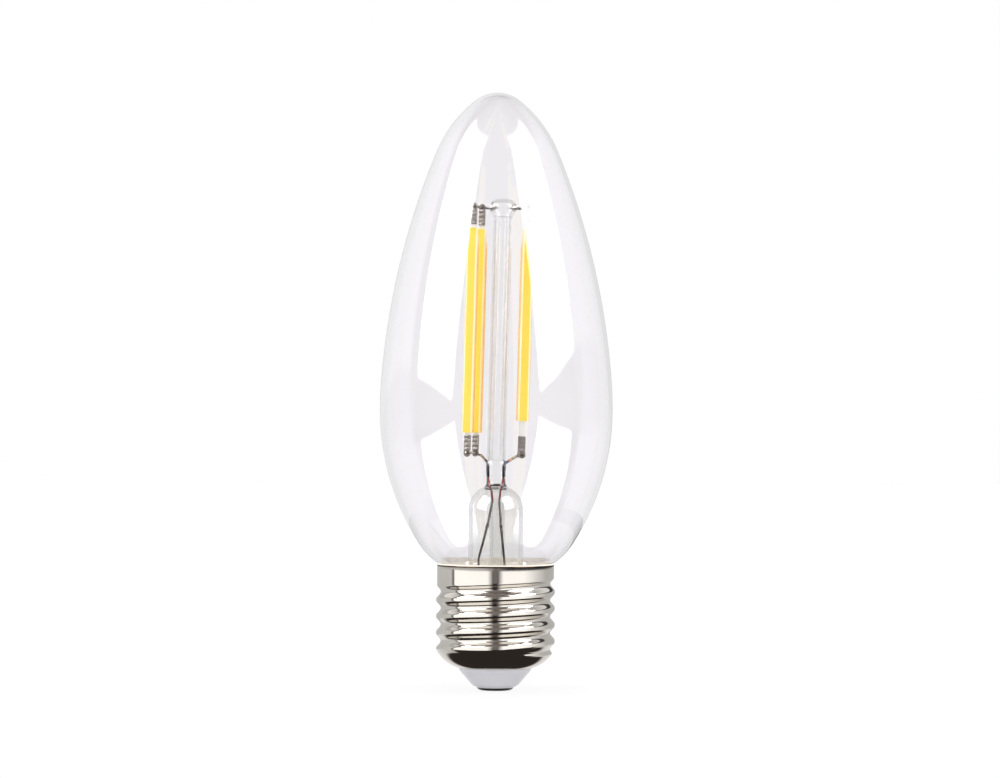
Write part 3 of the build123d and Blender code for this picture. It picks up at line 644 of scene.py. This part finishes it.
shell = startPoint("cap_shell_rolled", cap["lip"], cap["lipZ"])
for row in range(1, rolling["bowlRows"] + 1):
    z = cap["lipZ"] + rolling["bowlRow"] * row
    lineTo(bowlRadius(z), z)
lineTo(cap["crestRadius"], cap["rolledTop"])
pickPoints(shell, lambda co: co.z > (z - hair) * mm)
bpy.ops.mesh.subdivide(number_cuts=rolling["rows"])    # rows for the thread
pickPoints(shell, lambda co: co.z > (cap["rolledTop"] - hair) * mm)
edgeZ = cap["height"] - cap["edgeRound"]
innerRim = cap["rimRadius"] - cap["wall"]
lineTo(cap["rimRadius"], cap["rolledTop"] + cap["edgeRound"])
lineTo(cap["rimRadius"], edgeZ)
arcRound((cap["rimRadius"] - cap["edgeRound"], edgeZ), -90, 4)    # rounded edge of the sheet
lineTo(innerRim + cap["edgeRound"], cap["height"])
arcRound((innerRim + cap["edgeRound"], edgeZ), -90, 4)
lineTo(innerRim, cap["mouthHigh"])
lineTo(cap["bore"], cap["mouthLow"])
lineTo(cap["bore"], cap["boreFoot"])
lineTo(*cap["innerBowl"])
lineTo(cap["lip"], cap["lipZ"] + cap["lipWall"])
lineTo(cap["lip"], cap["lipZ"])
spinOutline(rolling["steps"])
for point in shell.data.vertices:    # the thread is rolled into the outside
    x, y, z = point.co / mm
    radius = sqrt(x * x + y * y)
    skin = cap["bore"] + rolling["overBore"] if z > rolling["outsideTop"] else rolling["outside"]
    onThread = radius > skin and rolling["bowlOnly"] < z < cap["rolledTop"] + rolling["near"]
    onBowl = radius > bowlRadius(z) - rolling["near"] and rolling["lipTop"] < z <= rolling["bowlOnly"]
    if onThread or onBowl:
        blend = rolling["bowlBlend"] if z < rolling["bowlBlendTop"] else rolling["threadBlend"]
        wanted = softLess(bowlRadius(z), threadRadius(atan2(y, x) % (2 * pi), z), blend)
        point.co.x, point.co.y = point.co.x * wanted / radius, point.co.y * wanted / radius
finishPiece(shell, nickel, "polished_nickel_plate", ["cap_shell"], 50)
print("cap shell rolled", len(shell.data.polygons))

# Cement between the neck and the shell, squeezed out as a thin bead on the rim
bead = {"foot": 16.8, "gap": 0.02, "edge": 12.9, "top": 28.07, "bulge": 0.03, "bulgeRise": 0.12}
throatCentre = (candle["neck"] + candle["throat"], candle["throatZ"])
innerSide, shellSide = candle["neck"] + bead["gap"], cap["bore"] - bead["gap"]
ring = startPoint("capping_cement_baked", innerSide, bead["foot"])
lineTo(innerSide, candle["throatZ"])
arcRound(throatCentre, candle["mouthAngle"], 8)    # up along the throat of the glass
lineTo(bead["edge"], bead["top"])
lineTo(bead["edge"] + bead["bulge"], cap["height"] + bead["bulgeRise"])
lineTo(bead["edge"], cap["height"] + bead["gap"])
lineTo(innerRim - bead["gap"], cap["height"] + bead["gap"])
lineTo(innerRim - bead["gap"], cap["mouthHigh"])
lineTo(shellSide, cap["mouthLow"])
lineTo(shellSide, bead["foot"])
lineTo(innerSide, bead["foot"])
spinOutline(candle["steps"])
finishPiece(ring, cement, "pale_capping_cement", ["capping_cement"])

# White insulator under the bowl, and the contact riveted through it: radius and height of each point in mm
foot = {"rivet": 1.2, "contactHeight": 0.55, "seat": 8.3, "seatZ": 7.7, "seatWall": 7.1,
        "seatFloor": 5.5, "floor": 2.15, "floorRadius": 4.3, "rivetTop": 3.15, "steps": 96,
        "contactSteps": 64}
footEdge = ((3.8, 0.55), (4.15, 0.65), (4.88, 1.04), (5.15, 1.22), (5.38, 1.45), (5.62, 1.74))
lipEdge = ((7.7, 4.15), (7.93, 4.45), (8.05, 4.8), (8.05, 5.3), (8.25, 5.5), (8.3, 5.65))
contactFace = ((0.55, 0.15), (1.1, 0), (3.2, 0), (3.65, 0.16), (4.0, 0.45), (3.95, 0.55))
punchDepth = 0.2    # of the mark in its middle
insulator = startPoint("cap_insulator_moulded", foot["rivet"], foot["contactHeight"])
for x, z in footEdge + lipEdge:
    lineTo(x, z)
lineTo(foot["seat"], foot["seatZ"])
lineTo(foot["seatWall"], foot["seatZ"])
lineTo(foot["seatWall"], foot["seatFloor"])
lineTo(foot["floorRadius"], foot["floor"])
lineTo(foot["rivet"], foot["floor"])
lineTo(foot["rivet"], foot["contactHeight"])
spinOutline(foot["steps"])
finishPiece(insulator, whiteMoulding, "white_insulator", ["cap_insulator"])

contact = startPoint("centre_contact_pressed", 0, punchDepth)
for x, z in contactFace:
    lineTo(x, z)
lineTo(foot["rivet"], foot["contactHeight"])
lineTo(foot["rivet"], foot["rivetTop"])
lineTo(0, foot["rivetTop"])
spinOutline(foot["contactSteps"])
finishPiece(contact, tinned, "grey_contact_metal", ["centre_contact"], 30)
print("cement, insulator and contact set")


# Glass stem: the flare tube, its round shoulder and the press in one piece
stem = {"tube": 6.1, "wall": 0.9, "neckBore": 10.2, "footZ": 15.5, "sealZ": 16.5, "tubeZ": 24.0,
        "shoulderZ": 39.9, "shoulder": 5.5, "pressWidth": 4.4, "pressThickness": 3.4, "pressTop": 51.0,
        "pressRound": 0.5, "waist": 0.1, "waistRise": (1.2, 2.2), "fillet": 1.2, "gap": 0.02,
        "sealRound": 0.06, "pinchRise": 3.5, "steps": 96}
mount = {"lean": 1.4, "turn": -7.0}    # the mount stands a little askew in the glass
leanMatrix = (Matrix.Translation((0, 0, stem["pressTop"])) @ Matrix.Rotation(radians(mount["lean"]), 4, "Y")
              @ Matrix.Translation((0, 0, -stem["pressTop"])))
turnMatrix = Matrix.Rotation(radians(mount["turn"]), 4, "Z")
leanMetres = Matrix.Scale(mm, 4) @ leanMatrix @ Matrix.Scale(1 / mm, 4)

pressNeck = stem["pressWidth"] / 2 - stem["waist"]
across = pressNeck + stem["fillet"] - stem["tube"] + stem["shoulder"]
pressFoot = stem["shoulderZ"] + sqrt((stem["shoulder"] + stem["fillet"]) ** 2 - across ** 2)
filletAngle = degrees(atan2(pressFoot - stem["shoulderZ"], across))
spread = stem["neckBore"] - stem["tube"]
flareArc = (spread ** 2 + (stem["tubeZ"] - stem["sealZ"]) ** 2) / (2 * spread)
flareCentre = (stem["tube"] + flareArc, stem["tubeZ"])
rimTurn = degrees(asin((stem["tubeZ"] - stem["sealZ"]) / flareArc))
footTurn = degrees(asin((stem["tubeZ"] - stem["footZ"]) / (flareArc + stem["wall"])))
shoulderCentre = (stem["tube"] - stem["shoulder"], stem["shoulderZ"])
innerShoulder = stem["shoulder"] - stem["wall"]
roofTurn = 180 - degrees(acos(shoulderCentre[0] / innerShoulder))
pressSide, pressEdgeZ = pressNeck + stem["waist"], stem["pressTop"] - stem["pressRound"]

roofZ = stem["shoulderZ"] + sqrt(innerShoulder ** 2 - shoulderCentre[0] ** 2)
flare = startPoint("stem_flare_pressed", 0, roofZ)
arcRound(shoulderCentre, roofTurn, 10)    # inside of the shoulder
lineTo(stem["tube"] - stem["wall"], stem["tubeZ"])
arcRound(flareCentre, -footTurn, 10)    # inside of the flare
lineTo(stem["neckBore"] - stem["gap"], stem["footZ"] + stem["gap"])
lineTo(stem["neckBore"] - stem["gap"], stem["sealZ"] - stem["gap"])
lineTo(stem["neckBore"] - stem["sealRound"], stem["sealZ"])
arcRound(flareCentre, rimTurn, 10)
lineTo(stem["tube"], stem["shoulderZ"])
arcRound(shoulderCentre, -filletAngle, 10)
arcRound((pressNeck + stem["fillet"], pressFoot), filletAngle, 6)
lineTo(pressNeck, pressFoot + stem["waistRise"][0])
lineTo(pressSide, pressFoot + stem["waistRise"][1])
lineTo(pressSide, pressEdgeZ)
arcRound((pressSide - stem["pressRound"], pressEdgeZ), -90, 4)
lineTo(0, stem["pressTop"])
spinOutline(stem["steps"])
pinchFoot = stem["shoulderZ"] + stem["pinchRise"]
for point in flare.data.vertices:    # the hot press is pinched flat
    z = point.co.z / mm
    if Vector(point.co[:2]).length > hair * mm and z > pinchFoot:
        pinch = min(1, (z - pinchFoot) / (pressFoot - pinchFoot))
        pinch = pinch * pinch * (3 - 2 * pinch)
        point.co.y *= 1 - pinch * (1 - stem["pressThickness"] / stem["pressWidth"])
placeMesh(flare, turnMatrix)
finishPiece(flare, stemGlass, "clear_stem_glass", ["stem_flare"], 60)

# Pillar: a tube drawn up from the press, with a button melted on at its top
column = {"radius": 2.1, "bore": 1.2, "boreRound": 0.35, "foot": 51.02, "boreTop": 104.9, "neckZ": 105.0,
          "neckRound": 0.4, "steps": 64}
button = ((2.2, 0.0), (2.55, 0.55), (2.95, 1.2), (3.08, 1.9), (2.95, 2.55), (2.5, 3.2), (1.8, 3.62),
          (1.0, 3.78), (0, 3.8))    # radius and rise over the neck in mm
boreEdge = column["bore"] - column["boreRound"]
pillar = startPoint("stem_pillar_drawn", 0, column["boreTop"])
lineTo(boreEdge, column["boreTop"])
arcRound((boreEdge, column["boreTop"] - column["boreRound"]), 90, 4)
lineTo(column["bore"], column["foot"])
lineTo(column["radius"], column["foot"])
lineTo(column["radius"], column["neckZ"] - column["neckRound"])
for x, rise in button:
    lineTo(x, column["neckZ"] + rise)
spinOutline(column["steps"])
placeMesh(pillar, turnMatrix @ leanMetres)
finishPiece(pillar, pillarGlass, "clear_stem_glass", ["stem_pillar"], 50)

# Exhaust tube in the flare, with its tip sealed off in the flame
exhaust = {"radius": 1.7, "bore": 1.0, "offset": 2.55, "end": 19.0, "boreEnd": 21.0, "top": 42.6,
           "steps": 40}
tip = startPoint("exhaust_tube_drawn", 0, exhaust["end"])
arcRound((0, exhaust["end"] + exhaust["radius"]), -90, 8)
lineTo(exhaust["radius"], exhaust["top"])
lineTo(exhaust["bore"], exhaust["top"])
lineTo(exhaust["bore"], exhaust["boreEnd"])
arcRound((0, exhaust["boreEnd"]), 90, 6)
spinOutline(exhaust["steps"])
placeMesh(tip, turnMatrix @ Matrix.Translation((0, exhaust["offset"] * mm, 0)))
finishPiece(tip, stemGlass, "clear_stem_glass", ["exhaust_tube"], 50)
print("stem set")


# Wires of the mount
wires = {"radius": 0.31, "bend": 0.9, "frontSpread": 6.1, "backSpread": 5.1, "depth": 3.2, "overrun": 2.8,
         "end": 0.75, "leadZ": 52.4, "supportZ": 106.9, "supportRoot": (1.3, 0.4), "pressOffset": 1.45,
         "exitZ": 49.94, "sealTop": 47.2, "sealBottom": 42.0, "sealOffset": 0.75, "sealRadius": 0.25,
         "outerRadius": 0.25, "outerBend": 1.5, "beadZ": 36.4, "spreadZ": 28.8, "boardZ": 8.7,
         "boardRise": 4.0, "boardOffset": 3.4, "weld": {"left": 1.9, "right": 1.15},
         "low": {"left": 3.9, "right": 1.9}}
weldBead = ((0.42, 1.15), (0.3, 1.2), (0.15, 1.16))    # half height in mm and growth of each ring
sides = (("left", -1), ("right", 1))


def hook(side, z):    # the last run of a wire passes through the eyes of two filaments
    back = leanMatrix @ Vector((side * wires["backSpread"], wires["depth"], z))
    front = leanMatrix @ Vector((side * wires["frontSpread"], -wires["depth"], z))
    along = (front - back).normalized()
    return back - along * wires["overrun"], front + along * wires["end"]


for name, side in sides:
    corner, end = hook(side, wires["leadZ"])
    low = (side * wires["pressOffset"], 0, wires["sealTop"])
    out = (side * wires["pressOffset"], 0, wires["exitZ"])
    lead = bentWire("inner_lead_bent_" + name, [low, out, corner, end], wires["radius"], wires["bend"])
    placeMesh(lead, turnMatrix)
    finishPiece(lead, heatTint, "nickel_wire", ["inner_lead_" + name])
    corner, end = hook(side, wires["supportZ"])
    root = leanMatrix @ Vector((side * wires["supportRoot"][0], wires["supportRoot"][1], wires["supportZ"]))
    support = bentWire("support_wire_bent_" + name, [root, corner, end], wires["radius"], wires["bend"])
    placeMesh(support, turnMatrix)
    finishPiece(support, nickelWire, "nickel_wire", ["support_wire_" + name])
    foil = (side * wires["sealOffset"], 0, wires["sealBottom"])
    seal = bentWire("seal_wire_red_" + name, [low, foil], wires["sealRadius"], wires["bend"])
    placeMesh(seal, turnMatrix)
    finishPiece(seal, redSeal, "red_seal_wire", ["seal_wire_" + name])
    weld = Vector((side * wires["weld"][name], 0, wires["beadZ"]))
    spreadPoint = (side * wires["low"][name], 0, wires["spreadZ"])
    abovePad = (side * wires["boardOffset"], 0, wires["boardZ"] + wires["boardRise"])
    pad = (side * wires["boardOffset"], 0, wires["boardZ"])
    outer = bentWire("outer_lead_bent_" + name, [foil, weld, spreadPoint, abovePad, pad],
                     wires["outerRadius"], wires["outerBend"])
    bpy.ops.object.mode_set(mode="EDIT")
    for reach, growth in weldBead:
        for level in (-reach, reach):
            bpy.ops.mesh.select_all(action="SELECT")
            bpy.ops.mesh.bisect(plane_co=(0, 0, (wires["beadZ"] + level) * mm), plane_no=(0, 0, 1))
    for reach, growth in weldBead:
        pickPoints(outer, lambda co: abs(co.z / mm - wires["beadZ"]) < reach + hair)
        bpy.ops.transform.resize(value=(growth, growth, 1), center_override=weld * mm)
    bpy.ops.object.mode_set(mode="OBJECT")
    placeMesh(outer, turnMatrix)
    finishPiece(outer, oxideWire, "dark_lead_wire", ["outer_lead_" + name])
print("wires bent")


# Filaments: each piece is drawn once, upright on the lower eye, and its copies are set between the wires
filament = {"span": 54.5, "reach": 1.1, "cover": 0.5, "grip": 2.4, "cornerSteps": 6, "endSteps": 4,
            "tabWidth": 1.4, "tabThickness": 0.75, "tabFoot": 0.55, "tabRows": 7, "tabEdge": 0.06,
            "crimpEdge": 0.13, "crimpDepth": 0.07, "eye": 0.59, "eyeWire": 0.26, "eyeSteps": (32, 12),
            "stripWidth": 1.1, "stripThickness": 0.4, "stripCorner": 0.06,
            "jacketWidth": 2.6, "jacketThickness": 1.9, "corner": 0.55, "endRound": 0.4, "headRound": 0.2,
            "taper": 4.5, "taperInset": 0.4, "bare": {"left": (0.5, 0.8), "right": (3.4, 0.5)}}
stripFoot = filament["reach"] + filament["cover"]
tabEnd = stripFoot + filament["grip"]


def barSection(name, width, depth, corner, z):    # a flat face with round corners
    bpy.ops.object.select_all(action="DESELECT")
    bpy.ops.mesh.primitive_plane_add(size=1, location=(0, 0, z * mm))
    bar = nameActive(name)
    bar.scale = (width * mm, depth * mm, 1)
    bpy.ops.object.transform_apply(location=True, scale=True)
    bpy.ops.object.mode_set(mode="EDIT")
    bpy.ops.mesh.select_all(action="SELECT")
    bpy.ops.mesh.bevel(offset=corner * mm, segments=filament["cornerSteps"], affect="VERTICES")
    return bar


def castJacket(name, bottom, top):    # flat faced silicone bead with a round foot and a thinner head
    width, depth = filament["jacketWidth"], filament["jacketThickness"]
    inset = 2 * filament["taperInset"]
    jacket = barSection(name, width, depth, filament["corner"], bottom)
    pushBy((0, 0, (top - bottom - filament["taper"]) * mm))
    pushBy((0, 0, filament["taper"] * mm))
    bpy.ops.transform.resize(value=((width - inset) / width, (depth - inset) / depth, 1),
                             center_override=(0, 0, top * mm))
    fillEnds()
    pickFaces(jacket, lambda face: len(face.verts) > 4 and face.calc_center_median().z < (bottom + 1) * mm)
    bpy.ops.mesh.bevel(offset=filament["endRound"] * mm, segments=filament["endSteps"], affect="EDGES")
    pickFaces(jacket, lambda face: len(face.verts) > 4 and face.calc_center_median().z > (top - 1) * mm)
    bpy.ops.mesh.bevel(offset=filament["headRound"] * mm, segments=filament["endSteps"], affect="EDGES")
    closeMesh()
    share = jacket.data.attributes.new("cornerShare", "FLOAT", "POINT")
    for point in jacket.data.vertices:    # 0 on the flat face, 1 on the side
        past = abs(point.co.x) / mm - width / 2 + filament["corner"]
        share.data[point.index].value = max(0, past / filament["corner"])
    return jacket


def firedStrip(name):
    strip = barSection(name, filament["stripWidth"], filament["stripThickness"],
                       filament["stripCorner"], stripFoot)
    pushBy((0, 0, (filament["span"] - 2 * stripFoot) * mm))
    fillEnds()
    closeMesh()
    return strip


def crimpedTab(name):    # a plated tab with its eye on the wire and crimps across both faces
    tabLength = tabEnd - filament["tabFoot"]
    rowHeight = tabLength / filament["tabRows"]
    bpy.ops.object.select_all(action="DESELECT")
    tabSize = Vector((filament["tabWidth"], filament["tabThickness"], tabLength)) * mm
    bpy.ops.mesh.primitive_cube_add(size=1, location=(0, 0, (filament["tabFoot"] + tabEnd) / 2 * mm),
                                    scale=tabSize)
    tab = nameActive(name)
    bpy.ops.object.transform_apply(location=True, scale=True)
    bpy.ops.object.mode_set(mode="EDIT")
    for row in range(1, filament["tabRows"]):
        bpy.ops.mesh.select_all(action="SELECT")
        cutZ = filament["tabFoot"] + rowHeight * row
        bpy.ops.mesh.bisect(plane_co=(0, 0, cutZ * mm), plane_no=(0, 0, 1))
    bpy.ops.mesh.select_all(action="SELECT")
    bpy.ops.mesh.bisect(plane_co=(0, 0, 0), plane_no=(1, 0, 0))    # two pits in each row
    pickFaces(tab, lambda face: abs(face.normal.y) > 0.5    # every second row of both faces
              and int((face.calc_center_median().z / mm - filament["tabFoot"]) / rowHeight) % 2 == 1)
    bpy.ops.mesh.inset(thickness=filament["crimpEdge"] * mm, depth=-filament["crimpDepth"] * mm,
                       use_individual=True)
    bpy.ops.mesh.select_all(action="DESELECT")
    around, across = filament["eyeSteps"]
    bpy.ops.mesh.primitive_torus_add(major_segments=around, minor_segments=across, rotation=(pi / 2, 0, 0),
                                     major_radius=filament["eye"] * mm,
                                     minor_radius=filament["eyeWire"] * mm)
    bpy.ops.mesh.select_all(action="SELECT")
    bpy.ops.mesh.normals_make_consistent(inside=False)
    bpy.ops.object.mode_set(mode="OBJECT")
    bevel = tab.modifiers.new("soft edges", "BEVEL")
    bevel.width = filament["tabEdge"] * mm
    bevel.segments = 2
    bevel.limit_method = "ANGLE"
    bpy.ops.object.modifier_apply(modifier=bevel.name)
    return tab


firstStrip = firedStrip("filament_strip_fired")
firstTab = crimpedTab("filament_tab_crimped")
upright = Matrix.Identity(4)
turnedOver = Matrix.Translation((0, 0, filament["span"] * mm)) @ Matrix.Rotation(pi, 4, "X")
rows = (("front", wires["frontSpread"], -wires["depth"]), ("back", wires["backSpread"], wires["depth"]))
for name, side in sides:
    bottom = tabEnd + filament["bare"][name][0]
    top = filament["span"] - tabEnd - filament["bare"][name][1]
    firstJacket = castJacket("filament_jacket_cast", bottom, top)
    twist = atan2(side * (wires["frontSpread"] - wires["backSpread"]), 2 * wires["depth"])
    for row, spreadX, depthY in rows:
        ending = "_" + name + "_" + row
        eye = Matrix.Translation((side * spreadX * mm, depthY * mm, wires["leadZ"] * mm))
        place = turnMatrix @ leanMetres @ eye @ Matrix.Rotation(twist, 4, "Z")
        for first, newName, node, way, material, slot in (
                (firstJacket, "filament_jacket_cast", "filament_jacket", upright, phosphor,
                 "yellow_phosphor_silicone"),
                (firstStrip, "filament_strip_fired", "filament_strip", upright, ceramic,
                 "white_strip_ceramic"),
                (firstTab, "bottom_tab_crimped", "bottom_tab", upright, tabMetal, "filament_tab_metal"),
                (firstTab, "top_tab_crimped", "top_tab", turnedOver, tabMetal, "filament_tab_metal")):
            piece = copyPiece(first, newName + ending)
            placeMesh(piece, place @ way)
            finishPiece(piece, material, slot, [node + ending])
    bpy.data.objects.remove(firstJacket)
bpy.data.objects.remove(firstStrip)
bpy.data.objects.remove(firstTab)
print("filaments set")


# Finishes of the pieces that stay as they are, out of sight in the cap and under the jackets
kept = {"neutral_wire": oxideWire, "driver_board": laminate, "fuse_resistor": fuseCoat,
        "smoothing_capacitor": canSleeve, "bridge_rectifier": resin, "driver_chip": resin}
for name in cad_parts:
    if name.startswith("led_chips"):
        kept[name] = chipFace
for name, material in kept.items():
    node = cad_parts[name]
    node.data.materials.clear()
    node.data.materials.append(material)
print("kept pieces finished", len(kept))
